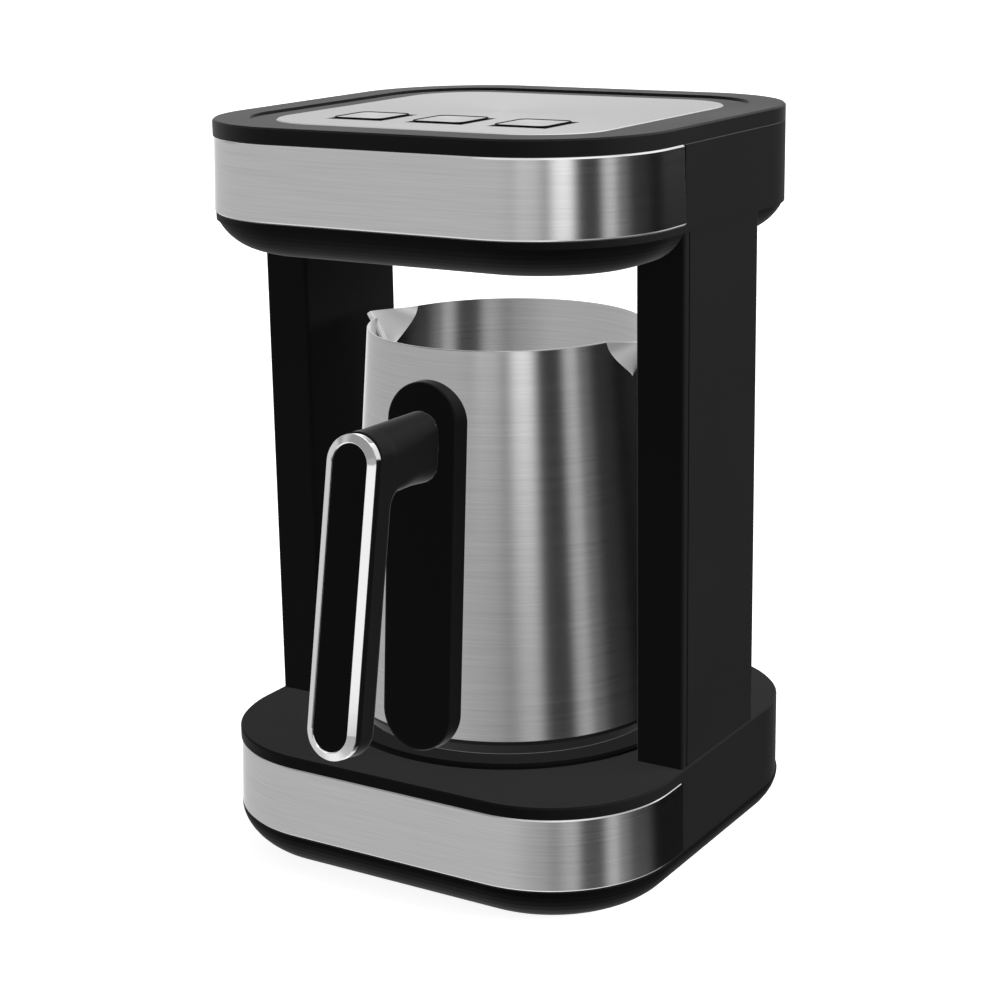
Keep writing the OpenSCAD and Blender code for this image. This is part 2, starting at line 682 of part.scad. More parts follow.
module heater_plate() color("#b9bbbe") difference() {
    union() {
        rod(heat_r, heat_z, pot_floor - floor_t);
        at3(pot_screw_ring) rod(3.2, heat_z - stud_gap, heat_z + 1);
    }
    at3(pot_screw_ring) rod(1.4 + fit, heat_z - stud_gap - 1, heat_z + 1.5);
}
module heater_tube() color("#8c8a86") translate([0, 0, heat_z - tube_r]) {
    rotate(105) rotate_extrude(angle = 330) translate([tube_ring, 0]) circle(tube_r, $fn = 32);
    for (a = [105, 75]) rotate(a) translate([tube_ring, 0, 0]) sphere(tube_r, $fn = 32);
}
module thermostat() color("#d8d2c2") {
    rod(8, heat_z - 3.5, heat_z);
    rod(6, heat_z - 5, heat_z - 3);
}
module pot_contacts() color("#c8a24a") at3(contact_ring)
    rod(contact_r + 0.8, pot_z, pot_z + foot_t + 1.5);
module pot_screws() color("#9a9a9a") at3(pot_screw_ring) {
    rod(2.5, pot_z + 0.4, pot_z + foot_t);
    rod(1.4, pot_z + 1, heat_z + 1);
}

// ---- Handle ----
module plate_frame() translate([0, -plate_y, plate_c]) rotate([-wall_lean, 0, 0]) children();
module grip_frame() translate([0, -grip_y, arm_z]) rotate([-grip_tilt, 0, 0])
    translate([0, 0, arm_h / 2 - grip_len / 2]) children();
module wall_cone(off) {
    z0 = skirt_z - 12;
    z1 = rim_z + 12;
    translate([0, 0, z0]) cylinder(h = z1 - z0, r1 = wall_r(z0) + off, r2 = wall_r(z1) + off);
}
module bracket_solid(gap) {
    intersection() {
        wall_cone(bracket_t + gap);
        box(-bracket_w / 2 - gap, bracket_w / 2 + gap, -body_d, 0,
            arm_z - bracket_h / 2 - gap, arm_z + bracket_h / 2 + gap);
    }
    translate([0, -wall_r(arm_z) - bracket_t - 1.2 - gap, arm_z]) rotate([-90, 0, 0])
        cylinder(h = 6, r = 4.6 + gap);
}
module handle_bore(r) translate([0, -wall_r(arm_z) + 1, arm_z]) rotate([90, 0, 0])
    cylinder(h = arm_len + 20, r = r);
module handle_bracket() color("#8d8f92") difference() {
    bracket_solid(0);
    wall_cone(0);
    handle_bore(screw_r + fit);
}
module handle_plate() color("#171717") difference() {
    plate_frame() pill(plate_len - plate_w - 1.4, [[plate_w / 2 - 1, 0], [plate_w / 2 - 0.3, 0.25],
        [plate_w / 2, 0.9], [plate_w / 2 + 0.7, 12]]);
    wall_cone(0);
    bracket_solid(fit);
    handle_bore(screw_r + fit);
}
head_y = grip_y - (arm_h / 2) * tan(grip_tilt) - trim_d / cos(grip_tilt) - 0.4;
module handle_grip() color("#1c1c1c") difference() {
    union() {
        grip_frame() pill(grip_span, concat([[grip_r - 0.1, trim_d]],
            arc(grip_r - 3.1, grip_d - 3, 3, 3, 0, 90, 4)));
        translate([0, -head_y, arm_z]) rotate([-90, 0, 0]) linear_extrude(head_y - arm_face + 12)
            for (z = [-1, 1]) {
                translate([0, z * (arm_h - arm_w) / 2]) circle(arm_w / 2);
                square([arm_w, arm_h - arm_w], center = true);
            }
        arm_fillet();
    }
    plate_frame() box(-40, 40, 0, 60, -plate_len, plate_len);
    handle_bore(screw_r + fit);
    translate([0, -head_y + 3, arm_z]) rotate([90, 0, 0]) cylinder(h = 20, r = screw_head_r + 0.1);
}
// Hollow curve between the arm's underside and the back of the grip
fillet_r = 9;
module arm_fillet() {
    z = arm_z - arm_h / 2;
    y = -grip_y - (arm_h / 2) * tan(grip_tilt) + grip_d / cos(grip_tilt);
    rotate([90, 0, 90]) linear_extrude(arm_w * 0.62, center = true) difference() {
        translate([y - 4, z - fillet_r]) square([fillet_r + 4, fillet_r + 3]);
        translate([y + fillet_r, z - fillet_r]) circle(fillet_r);
    }
}
module grip_trim() color("#dcdcdc") grip_frame() pill_ring(grip_span,
    [[inlay_r, trim_soft], [inlay_r + trim_soft, 0], [grip_r - 0.15, trim_fall - 0.05],
        [grip_r, trim_fall + 0.15], [grip_r, trim_d], [inlay_r, trim_d]]);
module grip_inlay() color("#0f0f0f") grip_frame() pill(grip_span, [[inlay_r - 0.35, 0.3],
    [inlay_r - fit, 0.6], [inlay_r - fit, trim_d]]);
module handle_screw() color("#9a9a9a") translate([0, -head_y, arm_z]) rotate([-90, 0, 0]) {
    cylinder(h = 3, r = screw_head_r);
    cylinder(h = head_y - wall_r(arm_z) - 0.2, r = screw_r);
}

place() base_tray();
place() base_cover();
place() base_band();
place() feet();
place() base_screws();
place() pot_seat();
place() contact_block();
place() contact_pins();
place() power_board();
place() relay();
place() transformer();
place() capacitors();
place() power_board_screws();
place() cord_gland();
place() column_left();
place() column_right();
place() column_cover_left();
place() column_cover_right();
place() tie_rods();
place() tie_nuts();
place() wire_loom();
place() head_shell();
place() head_band();
place() head_bowl();
place() bowl_screws();
place() sensor_window();
place() sensor_board();
place() sensor_diodes();
place() top_frame();
place() control_panel();
place() control_board();
place() board_nuts();
place() switch_bodies();
place() buzzer();
place() controller_chip();
place() key_left();
place() plunger_left();
place() key_middle();
place() plunger_middle();
place() key_right();
place() plunger_right();
place() pot_body();
place() spout_left();
place() spout_right();
place() pot_foot();
place() heater_plate();
place() heater_tube();
place() thermostat();
place() pot_contacts();
place() pot_screws();
place() handle_bracket();
place() handle_plate();
place() handle_grip();
place() grip_trim();
place() grip_inlay();
place() handle_screw();
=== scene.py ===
"""Dresses the frame of an electric Turkish coffee maker: finishes, keys, spouts, grip and studio."""
import math

import bpy
import numpy as np
from mathutils import Matrix, Vector


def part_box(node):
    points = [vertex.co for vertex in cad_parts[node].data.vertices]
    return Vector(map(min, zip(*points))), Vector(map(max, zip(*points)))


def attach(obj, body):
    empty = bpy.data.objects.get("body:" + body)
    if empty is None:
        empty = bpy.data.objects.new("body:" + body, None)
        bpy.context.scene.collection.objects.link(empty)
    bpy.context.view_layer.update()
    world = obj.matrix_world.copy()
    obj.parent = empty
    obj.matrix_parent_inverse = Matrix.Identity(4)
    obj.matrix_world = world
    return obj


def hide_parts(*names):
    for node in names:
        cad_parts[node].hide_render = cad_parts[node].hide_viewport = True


bl_info = {
    "name": "Turkish coffee maker",
    "version": (1, 0, 0),
    "blender": (4, 5, 0),
    "location": "3D View > Sidebar > Coffee maker",
    "description": "Builds the finishes, keys, spouts, grip and studio of a Turkish coffee maker",
    "category": "Object",
}

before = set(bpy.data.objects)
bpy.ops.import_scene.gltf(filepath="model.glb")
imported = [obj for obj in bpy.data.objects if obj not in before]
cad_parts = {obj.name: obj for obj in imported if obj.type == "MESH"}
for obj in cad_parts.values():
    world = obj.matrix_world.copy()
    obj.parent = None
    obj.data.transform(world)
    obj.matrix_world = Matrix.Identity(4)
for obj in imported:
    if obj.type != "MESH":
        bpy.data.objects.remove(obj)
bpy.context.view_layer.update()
MM = 0.001
NEAR = 0.5 * MM  # within this of a solid's top, a point belongs to its upper edge
TOUCH = 0.01 * MM  # within this of a plane, a point lies on it
KEYS = ("left", "middle", "right")
WHITE = (1.0, 1.0, 1.0, 1.0)
# Painted shade: the black that stands for shade in gaps and on the walls of holes
PAINTED_GAP_SHADE = (0.002, 0.002, 0.002, 1.0)


def middle(node):
    """The middle of a node's box."""
    low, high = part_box(node)
    return (low + high) / 2


def points_of(node):
    """The points of a node's solid, one in each row."""
    return np.array([v.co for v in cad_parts[node].data.vertices])


def leaning_box(node, lean):
    """Lowest and highest corner of a node in axes that lean by that angle about X."""
    points = points_of(node)
    y = points[:, 1] * math.cos(lean) - points[:, 2] * math.sin(lean)
    z = points[:, 1] * math.sin(lean) + points[:, 2] * math.cos(lean)
    return (y.min(), z.min()), (y.max(), z.max())


# ---- Settings ----
class SteelSettings(bpy.types.PropertyGroup):
    """The brushed steel of the bands, the pot, the panel and the keys"""
    colour: bpy.props.FloatVectorProperty(
        name="Steel", description="Colour of the brushed steel", subtype="COLOR",
        default=(0.60, 0.60, 0.605), min=0, max=1)
    grain: bpy.props.FloatProperty(
        name="Grain", description="Width of one brush line", default=0.5 * MM, unit="LENGTH")
    run: bpy.props.FloatProperty(
        name="Run", description="Length of one brush line", default=35 * MM, unit="LENGTH")
    roughness: bpy.props.FloatProperty(
        name="Roughness", description="Roughness of the bands and the pot", subtype="FACTOR",
        default=0.22, min=0, max=1)


class MouldingSettings(bpy.types.PropertyGroup):
    """The black plastics"""
    housing: bpy.props.FloatVectorProperty(
        name="Housing", description="Colour of the base, columns and head", subtype="COLOR",
        default=(0.0125, 0.0125, 0.013), min=0, max=1)
    handle: bpy.props.FloatVectorProperty(
        name="Handle", description="Colour of the handle's mouldings", subtype="COLOR",
        default=(0.0095, 0.0095, 0.0098), min=0, max=1)
    texture: bpy.props.FloatProperty(
        name="Texture", description="Size of the mouldings' fine texture", default=0.45 * MM,
        unit="LENGTH")


class ControlSettings(bpy.types.PropertyGroup):
    """The three keys and the panel round them"""
    proud: bpy.props.FloatProperty(
        name="Proud", description="Height of a key's raised edge above the panel",
        default=0.6 * MM, unit="LENGTH")
    rim: bpy.props.FloatProperty(
        name="Rim", description="Width of a key's raised edge", default=0.55 * MM, unit="LENGTH")
    sink: bpy.props.FloatProperty(
        name="Sink", description="Depth of a key's steel plate below its edge",
        default=0.25 * MM, unit="LENGTH")
    corner: bpy.props.FloatProperty(
        name="Corner", description="Radius of a key's corners", default=3.5 * MM, unit="LENGTH")
    # Painted shade: the dark border round each key stands for the shade of the gap round it
    shade_border: bpy.props.FloatProperty(
        name="Border", description="Width of the dark border on the panel round each key",
        default=1.25 * MM, unit="LENGTH")


class HandleSettings(bpy.types.PropertyGroup):
    """The arm and the grip, which are one moulding"""
    lean: bpy.props.FloatProperty(
        name="Lean", description="Lean of the grip away from the pot", default=math.radians(10.5),
        unit="ROTATION")
    plate_lean: bpy.props.FloatProperty(
        name="Plate lean", description="Lean of the plate with the pot's wall",
        default=math.atan2(10.2, 135.15), unit="ROTATION")
    arm_width: bpy.props.FloatProperty(
        name="Arm width", description="Width of the arm at the plate", default=14.6 * MM,
        unit="LENGTH")
    arm_height: bpy.props.FloatProperty(
        name="Arm height", description="Height of the arm at the plate", default=24.6 * MM,
        unit="LENGTH")
    arm_taper: bpy.props.FloatProperty(
        name="Arm taper", description="Loss of the arm's half height along its length",
        default=0.064)
    arm_drop: bpy.props.FloatProperty(
        name="Arm drop", description="Fall of the arm's top at the plate below the grip's top",
        default=0.5 * MM, unit="LENGTH")
    arm_reach: bpy.props.FloatProperty(
        name="Arm reach", description="Length over which the arm widens into the grip",
        default=31.5 * MM, unit="LENGTH")
    depth: bpy.props.FloatProperty(
        name="Depth", description="Depth of the grip", default=13.5 * MM, unit="LENGTH")
    edge: bpy.props.FloatProperty(
        name="Edge", description="Rounding of the grip's back edges", default=3.2 * MM,
        unit="LENGTH")
    hollow: bpy.props.FloatProperty(
        name="Hollow", description="Radius of the curve from the arm's underside into the grip",
        default=4.5 * MM, unit="LENGTH")
    join: bpy.props.FloatProperty(
        name="Join", description="Softness of the line where the arm meets the grip",
        default=2 * MM, unit="LENGTH")
    cell: bpy.props.FloatProperty(
        name="Cell", description="Size of one face of the moulding", default=0.7 * MM,
        unit="LENGTH")


class SpoutSettings(bpy.types.PropertyGroup):
    """The two spouts at the pot's rim"""
    width: bpy.props.FloatProperty(
        name="Width", description="Width of a spout at the rim", default=27.6 * MM, unit="LENGTH")
    height: bpy.props.FloatProperty(
        name="Height", description="Height of a spout", default=14.2 * MM, unit="LENGTH")
    reach: bpy.props.FloatProperty(
        name="Reach", description="How far the tip stands out of the wall", default=9.9 * MM,
        unit="LENGTH")
    drop: bpy.props.FloatProperty(
        name="Drop", description="Fall of the tip below the rim", default=1.2 * MM, unit="LENGTH")
    sheet: bpy.props.FloatProperty(
        name="Sheet", description="Thickness of the sheet", default=0.8 * MM, unit="LENGTH")
    roundness: bpy.props.FloatProperty(
        name="Roundness", description="1 for flat sides, 2 for a round spout", default=1.45)
    rows: bpy.props.IntProperty(
        name="Rows", description="Rows of faces up a spout", default=20, min=4)
    columns: bpy.props.IntProperty(
        name="Columns", description="Faces across a spout", default=48, min=8)


class StageSettings(bpy.types.PropertyGroup):
    """The camera, the side light and the floor"""
    camera: bpy.props.FloatVectorProperty(
        name="Camera", description="Place of the camera from the middle of the base, at table height",
        default=(401.53 * MM, -657.30 * MM, 337.07 * MM), subtype="TRANSLATION")
    yaw: bpy.props.FloatProperty(
        name="Yaw", description="Turn of the view to the left", default=math.radians(31.65),
        unit="ROTATION")
    pitch: bpy.props.FloatProperty(
        name="Pitch", description="Fall of the view", default=math.radians(14.385), unit="ROTATION")
    roll: bpy.props.FloatProperty(
        name="Roll", description="Roll of the view", default=math.radians(-0.943), unit="ROTATION")
    lens: bpy.props.FloatProperty(
        name="Lens", description="Focal length", default=79.32, unit="CAMERA")
    rise: bpy.props.FloatProperty(
        name="Rise", description="Upward shift of the lens, as a share of the picture",
        default=-0.045)
    light: bpy.props.FloatVectorProperty(
        name="Light", description="Way from the machine to the side light",
        default=(0.80, 0.36, 0.22), subtype="DIRECTION")
    spread: bpy.props.FloatProperty(
        name="Spread", description="Angle that the side light fills", default=math.radians(60),
        unit="ROTATION")
    strength: bpy.props.FloatProperty(
        name="Strength", description="Strength of the side light", default=4.9)
    floor: bpy.props.FloatVectorProperty(
        name="Floor", description="Colour of the floor", subtype="COLOR",
        default=(0.93, 0.93, 0.93), min=0, max=1)
    glow: bpy.props.FloatProperty(
        name="Glow", description="Light that the floor gives off, so that it stays white",
        default=0.9)


class CoffeeSettings(bpy.types.PropertyGroup):
    """All settings of the coffee maker"""
    steel: bpy.props.PointerProperty(
        type=SteelSettings, name="Steel", description="The brushed steel")
    moulding: bpy.props.PointerProperty(
        type=MouldingSettings, name="Mouldings", description="The black plastics")
    control: bpy.props.PointerProperty(
        type=ControlSettings, name="Controls", description="The keys and the panel")
    handle: bpy.props.PointerProperty(
        type=HandleSettings, name="Handle", description="The arm and the grip")
    spout: bpy.props.PointerProperty(
        type=SpoutSettings, name="Spouts", description="The pot's spouts")
    stage: bpy.props.PointerProperty(
        type=StageSettings, name="Studio", description="The camera, the light and the floor")


# ---- Shader expressions ----
class Sock:
    """A node's output, on which Python's operators add Math and Vector Math nodes."""

    def __init__(self, shader, socket):
        self.shader = shader
        self.socket = socket

    def maths(self, operation, other=None, swap=False):
        """A Math node, or a Vector Math node where either value is a vector."""
        pair = [self] if other is None else [self, other]
        if swap:
            pair.reverse()
        kinds = [s.socket.type for s in pair if isinstance(s, Sock)]
        if "VECTOR" in kinds:
            pair = [(v, v, v) if isinstance(v, (int, float)) else v for v in pair]
            kind = "ShaderNodeVectorMath"
        else:
            kind = "ShaderNodeMath"
        return self.shader.out(kind, {"operation": operation}, dict(enumerate(pair)))

    def __add__(self, other):
        return self.maths("ADD", other)

    def __radd__(self, other):
        return self.maths("ADD", other)

    def __sub__(self, other):
        return self.maths("SUBTRACT", other)

    def __rsub__(self, other):
        return self.maths("SUBTRACT", other, swap=True)

    def __mul__(self, other):
        return self.maths("MULTIPLY", other)

    def __rmul__(self, other):
        return self.maths("MULTIPLY", other)

    def __abs__(self):
        return self.maths("ABSOLUTE")

    def rise(self, low, high):
        """0 below low, 1 above high, and a smooth step between them."""
        return self.shader.out("ShaderNodeMapRange", {"interpolation_type": "SMOOTHSTEP"},
                               {"Value": self, "From Min": low, "From Max": high})


class Shader:
    """A node tree written as expressions. Every node that isn't maths comes from node()."""

    def __init__(self, owner):
        owner.use_nodes = True
        self.tree = owner.node_tree
        self.tree.nodes.clear()

    def node(self, kind, settings=None, sockets=None):
        """A new node. Its settings are set first, then its sockets get values or links."""
        made = self.tree.nodes.new(kind)
        for name, value in (settings or {}).items():
            setattr(made, name, value)
        for key, value in (sockets or {}).items():
            if isinstance(value, Sock):
                self.tree.links.new(value.socket, made.inputs[key])
            else:
                made.inputs[key].default_value = value
        return made

    def out(self, kind, settings=None, sockets=None, output=0):
        """One output of a new node, ready for an expression."""
        return Sock(self, self.node(kind, settings, sockets).outputs[output])

    def place(self):
        """The place on the surface, in the frame's axes."""
        return self.out("ShaderNodeTexCoord", output="Object")

    def split(self, vector):
        """The three parts of a vector."""
        axes = self.node("ShaderNodeSeparateXYZ", {}, {0: vector})
        return [Sock(self, axes.outputs[k]) for k in range(3)]

    def noise(self, at, scale, detail=3.0):
        """Soft noise about 0.5. The scale is the number of spots in one unit of the place."""
        return self.out("ShaderNodeTexNoise", {}, {
            "Vector": at, "Scale": scale, "Detail": detail, "Roughness": 0.55})

    def mix(self, low, high, share):
        """One colour into another by a share from 0 to 1."""
        return self.out("ShaderNodeMix", {"data_type": "RGBA"}, {0: share, 6: low, 7: high}, 2)

    def bump(self, height, strength, distance):
        """A normal that follows a height from 0 to 1, at that distance in metres."""
        return self.out("ShaderNodeBump", {}, {
            "Height": height, "Strength": strength, "Distance": distance})

    def surface(self, **sockets):
        """The surface itself. Each word is the name of a socket, in small letters."""
        names = {name.replace("_", " ").title(): value for name, value in sockets.items()}
        if "Specular" in names:
            names["Specular IOR Level"] = names.pop("Specular")
        made = self.node("ShaderNodeBsdfPrincipled", {}, names)
        self.node("ShaderNodeOutputMaterial", {}, {"Surface": Sock(self, made.outputs[0])})


# ---- Finishes ----
def grey(level):
    """A neutral colour."""
    return (level, level, level)


def tint(colour, factor):
    """A colour made darker or paler, with its alpha."""
    return tuple(min(1.0, c * factor) for c in colour) + (1.0,)


def new_material(name):
    """A new material, and the shader to write it with."""
    material = bpy.data.materials.new(name)
    return material, Shader(material)


def wear_finish(material, *nodes):
    """Gives the solids of those nodes that material alone."""
    for node in nodes:
        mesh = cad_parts[node].data
        mesh.materials.clear()
        mesh.materials.append(material)


def brush_place(at, across, run, grain):
    """The place in lengths of a brush line, and on the axis "across" in widths of it."""
    scale = [1 / run] * 3
    scale["xyz".index(across)] = 1 / grain
    return at * tuple(scale)


def brushed_steel(name, steel, across, roughness=None, anisotropy=0.55, streak=1.0, level=1.0,
                  unshaded=None):
    """Steel with a grain. Its brush lines lie side by side on the axis "across", in broader bands.
    Where the last argument, a function of the shader and the place, gives 0, the steel is painted
    black: painted shade for gaps and the walls of holes."""
    material, shader = new_material(name)
    at = shader.place()
    band_run, band_grain = steel.run / 0.3, steel.grain / 0.22
    lines = shader.noise(brush_place(at, across, steel.run, steel.grain), scale=1.0, detail=2.0)
    bands = shader.noise(brush_place(at, across, band_run, band_grain), scale=1.0)
    cloud = shader.noise(at, scale=40.0, detail=2.0)
    shade = (lines - 0.5) * (0.9 * streak) + (bands - 0.5) * (0.4 * streak) + 0.5
    dark, pale = tint(steel.colour, 0.86 * level), tint(steel.colour, 1.12 * level)
    colour = shader.mix(dark, pale, shade)
    # Painted shade: the steel turns black where the mask gives 0
    if unshaded:
        colour = shader.mix(PAINTED_GAP_SHADE, colour, unshaded(shader, at))
    rough = (roughness or steel.roughness) + (lines - 0.5) * 0.04 + (cloud - 0.5) * 0.02
    shader.surface(base_color=colour, metallic=1.0, roughness=rough, anisotropic=anisotropy,
                   anisotropic_rotation=0.25 if across == "z" else 0.0,
                   normal=shader.bump(lines + bands * 0.6, 0.025 * streak, 0.02 * MM))
    return material


def moulding(name, colour, texture, roughness=0.5, specular=0.05, relief=0.15):
    """Moulded plastic with a fine erosion texture and a faint unevenness of gloss."""
    material, shader = new_material(name)
    at = shader.place()
    grain = shader.noise(at, scale=1 / texture, detail=2.0)
    cloud = shader.noise(at, scale=25.0)
    shade = (grain - 0.5) * 0.5 + (cloud - 0.5) * 0.5 + 0.5
    dark, pale = tint(colour, 0.88), tint(colour, 1.12)
    shader.surface(base_color=shader.mix(dark, pale, shade), specular=specular,
                   roughness=roughness + (cloud - 0.5) * 0.08 + (grain - 0.5) * 0.06,
                   normal=shader.bump(grain, relief, 0.02 * MM))
    return material


def polished(name, colour, roughness=0.06, wear=0.05):
    """Bright plating with faint upright wiping marks."""
    material, shader = new_material(name)
    at = shader.place()
    marks = shader.noise(at * (1.0, 1.0, 0.2), scale=900.0)
    cloud = shader.noise(at, scale=60.0, detail=2.0)
    dark, pale = tint(colour, 0.95), tint(colour, 1.04)
    shader.surface(base_color=shader.mix(dark, pale, cloud), metallic=1.0,
                   roughness=roughness + (marks - 0.4) * wear,
                   normal=shader.bump(marks, 0.03, 0.01 * MM))
    return material


def coloured(name, colour, roughness=0.45, scale=1500.0, metallic=0.0, relief=0.2, coat=0.0):
    """An inner piece: its own colour with a fine mottle."""
    material, shader = new_material(name)
    mottle = shader.noise(shader.place(), scale)
    dark, pale = tint(colour, 0.8), tint(colour, 1.15)
    shader.surface(base_color=shader.mix(dark, pale, mottle), metallic=metallic, coat_weight=coat,
                   roughness=roughness + (mottle - 0.5) * 0.12,
                   normal=shader.bump(mottle, relief, 0.03 * MM))
    return material


# ---- Solid shapes as distances, and the mesh of their surface ----
def stadium(x, z, half_span, radius):
    """Distance from an upright slot shape with round ends."""
    return np.hypot(x, np.maximum(np.abs(z) - half_span, 0)) - radius


def rounded_meet(a, b, radius):
    """Both conditions at once, with their shared edge rounded."""
    a = a + radius
    b = b + radius
    return np.minimum(np.maximum(a, b), 0) + np.hypot(np.maximum(a, 0), np.maximum(b, 0)) - radius


def ease(value, low, high):
    """0 below low, 1 above high, and a smooth step between them."""
    share = np.clip((value - low) / (high - low), 0, 1)
    return share * share * (3 - 2 * share)


def smooth_join(a, b, radius):
    """Either solid, with a hollow curve of that radius where they meet."""
    near = np.maximum(radius - np.abs(a - b), 0) / radius
    return np.minimum(a, b) - near * near * radius / 4


def edge_ends(axis, others=slice(None)):
    """Indices of the lower and the upper ends of a grid's edges along an axis."""
    lower, upper = [others] * 3, [others] * 3
    lower[axis], upper[axis] = slice(0, -1), slice(1, None)
    return tuple(lower), tuple(upper)


def cell_points(grid, field, cell):
    """A vertex in each cell that the surface passes, at the mean of its crossings of the cell's
    edges, and an array with the number of each cell's vertex."""
    shape = [n - 1 for n in field.shape]
    total = np.zeros(shape + [3])
    count = np.zeros(shape)
    for axis in range(3):
        lower, upper = edge_ends(axis)
        below, above = field[lower], field[upper]
        crossed = (below < 0) != (above < 0)
        share = np.where(crossed, below / np.where(crossed, below - above, 1), 0)
        point = [g[lower].copy() for g in grid]
        point[axis] = point[axis] + share * cell
        others = [k for k in range(3) if k != axis]
        for steps in ((0, 0), (0, 1), (1, 0), (1, 1)):
            cut = [slice(None)] * 3
            for k, step in zip(others, steps):
                cut[k] = slice(step, step + shape[k])
            cut = tuple(cut)
            for k in range(3):
                total[..., k] += np.where(crossed[cut], point[k][cut], 0)
            count += crossed[cut]
    used = count > 0
    number = np.full(shape, -1)
    number[used] = np.arange(used.sum())
    return total[used] / count[used][:, None], number


def cell_faces(inside, number, axis):
    """A face between the four cells round each edge along that axis that the surface crosses."""
    u, v = [k for k in range(3) if k != axis]
    lower, upper = edge_ends(axis, slice(1, -1))
    below, above = inside[lower], inside[upper]
    at = np.argwhere(below != above)
    leaving = below[tuple(at.T)]
    at = at + 1
    at[:, axis] -= 1
    corners = []
    for i, j in ((1, 1), (0, 1), (0, 0), (1, 0)):
        corner = at.copy()
        corner[:, u] -= i
        corner[:, v] -= j
        corners.append(number[tuple(corner.T)])
    quads = np.stack(corners, 1)
    forward = leaving if axis != 1 else ~leaving
    quads[~forward] = quads[~forward][:, ::-1]
    return quads


def settle(distance, points, cell):
    """Draws the vertices onto the surface itself, along its slope."""
    rounds, least = 4, 0.2
    step, furthest = cell * 0.05, cell * 0.4
    for _ in range(rounds):
        here = distance(*points.T)
        slope = np.stack([distance(*(points + step * np.eye(3)[k]).T) - here for k in range(3)], 1)
        slope = slope / step
        steepness = np.maximum((slope ** 2).sum(1), least)
        move = slope * (here / steepness)[:, None]
        points = points - np.clip(move, -furthest, furthest)
    return points


def surface_of(distance, low, high, cell):
    """Vertices and faces of the surface where distance(x, y, z) is 0, in the box low to high."""
    axes = [np.arange(a, b + cell, cell) for a, b in zip(low, high)]
    grid = np.meshgrid(*axes, indexing="ij")
    field = distance(*grid)
    points, number = cell_points(grid, field, cell)
    faces = [cell_faces(field < 0, number, axis) for axis in range(3)]
    return settle(distance, points, cell), np.concatenate(faces)


# ---- Meshes from rows of points ----
def rounded_square(half, radius, steps=8):
    """Points round a square with rounded corners, about its middle."""
    points = []
    for quarter in range(4):
        x = half - radius if quarter in (0, 3) else radius - half
        y = half - radius if quarter in (0, 1) else radius - half
        for step in range(steps + 1):
            turn = math.radians(90) * (quarter + step / steps)
            points.append((x + radius * math.cos(turn), y + radius * math.sin(turn)))
    return points


def row_faces(rows, across, closed=False):
    """Faces between rows of points. Closed rows join their last point to their first."""
    faces = []
    for row in range(rows - 1):
        for j in range(across if closed else across - 1):
            a, b = row * across + j, row * across + (j + 1) % across
            faces.append((a, b, b + across, a + across))
    return faces


def new_piece(name, points, faces, body, material, replaced):
    """A smooth piece of the scene that rides on a body and stands for the solids it replaces."""
    mesh = bpy.data.meshes.new(name)
    mesh.from_pydata([tuple(p) for p in points], [], [tuple(int(i) for i in f) for f in faces])
    mesh.validate()
    mesh.polygons.foreach_set("use_smooth", [True] * len(mesh.polygons))
    mesh.materials.append(material)
    piece = bpy.data.objects.new(name, mesh)
    piece.visible_glossy = False
    bpy.context.scene.collection.objects.link(piece)
    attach(piece, body)
    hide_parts(*replaced)
    return piece


# ---- Pieces ----
class CoffeeOperator(bpy.types.Operator):
    """What all the operators share"""
    bl_options = {"REGISTER", "UNDO"}

    @property
    def settings(self):
        return bpy.context.scene.coffee_maker


class COFFEE_OT_housing(CoffeeOperator):
    """Finishes the black mouldings of the base, the columns and the head"""
    bl_idname = "coffee.housing"
    bl_label = "Housing"

    def execute(self, context):
        housing, texture = self.settings.moulding.housing, self.settings.moulding.texture
        wear_finish(moulding("satin_housing", housing, texture), "base_cover", "head_shell",
                    "column_left", "column_right", "column_cover_left", "column_cover_right")
        wear_finish(moulding("frame_plastic", housing, texture, roughness=0.42, specular=0.10),
                    "top_frame")
        wear_finish(moulding("dark_housing", tint(housing, 0.4)[:3], texture, specular=0.03),
                    "base_tray", "head_bowl")
        wear_finish(moulding("seat_plastic", grey(0.0035), texture, roughness=0.6), "pot_seat")
        wear_finish(moulding("foot_rubber", grey(0.02), texture, roughness=0.8, relief=0.5),
                    "feet", "cord_gland")
        return {"FINISHED"}


class COFFEE_OT_bands(CoffeeOperator):
    """Brushes the steel bands of the base and the head"""
    bl_idname = "coffee.bands"
    bl_label = "Steel bands"

    def execute(self, context):
        wear_finish(brushed_steel("band_steel", self.settings.steel, "z"), "base_band", "head_band")
        return {"FINISHED"}


class KeySolid:
    """The sizes of a key's solid: its middle, its flange, and its wall above the flange."""

    def __init__(self, side):
        points = points_of("key_" + side)
        low, high = points.min(0), points.max(0)
        at_side = points[:, 0] < low[0] + TOUCH
        at_top = points[:, 2] > high[2] - NEAR
        self.x, self.y = (float(c) for c in (low + high)[:2] / 2)
        self.foot = low[2]
        self.flange_half = (high[0] - low[0]) / 2
        self.flange_top = points[at_side][:, 2].max()
        self.wall_half = float(np.ptp(points[at_top][:, 0])) / 2


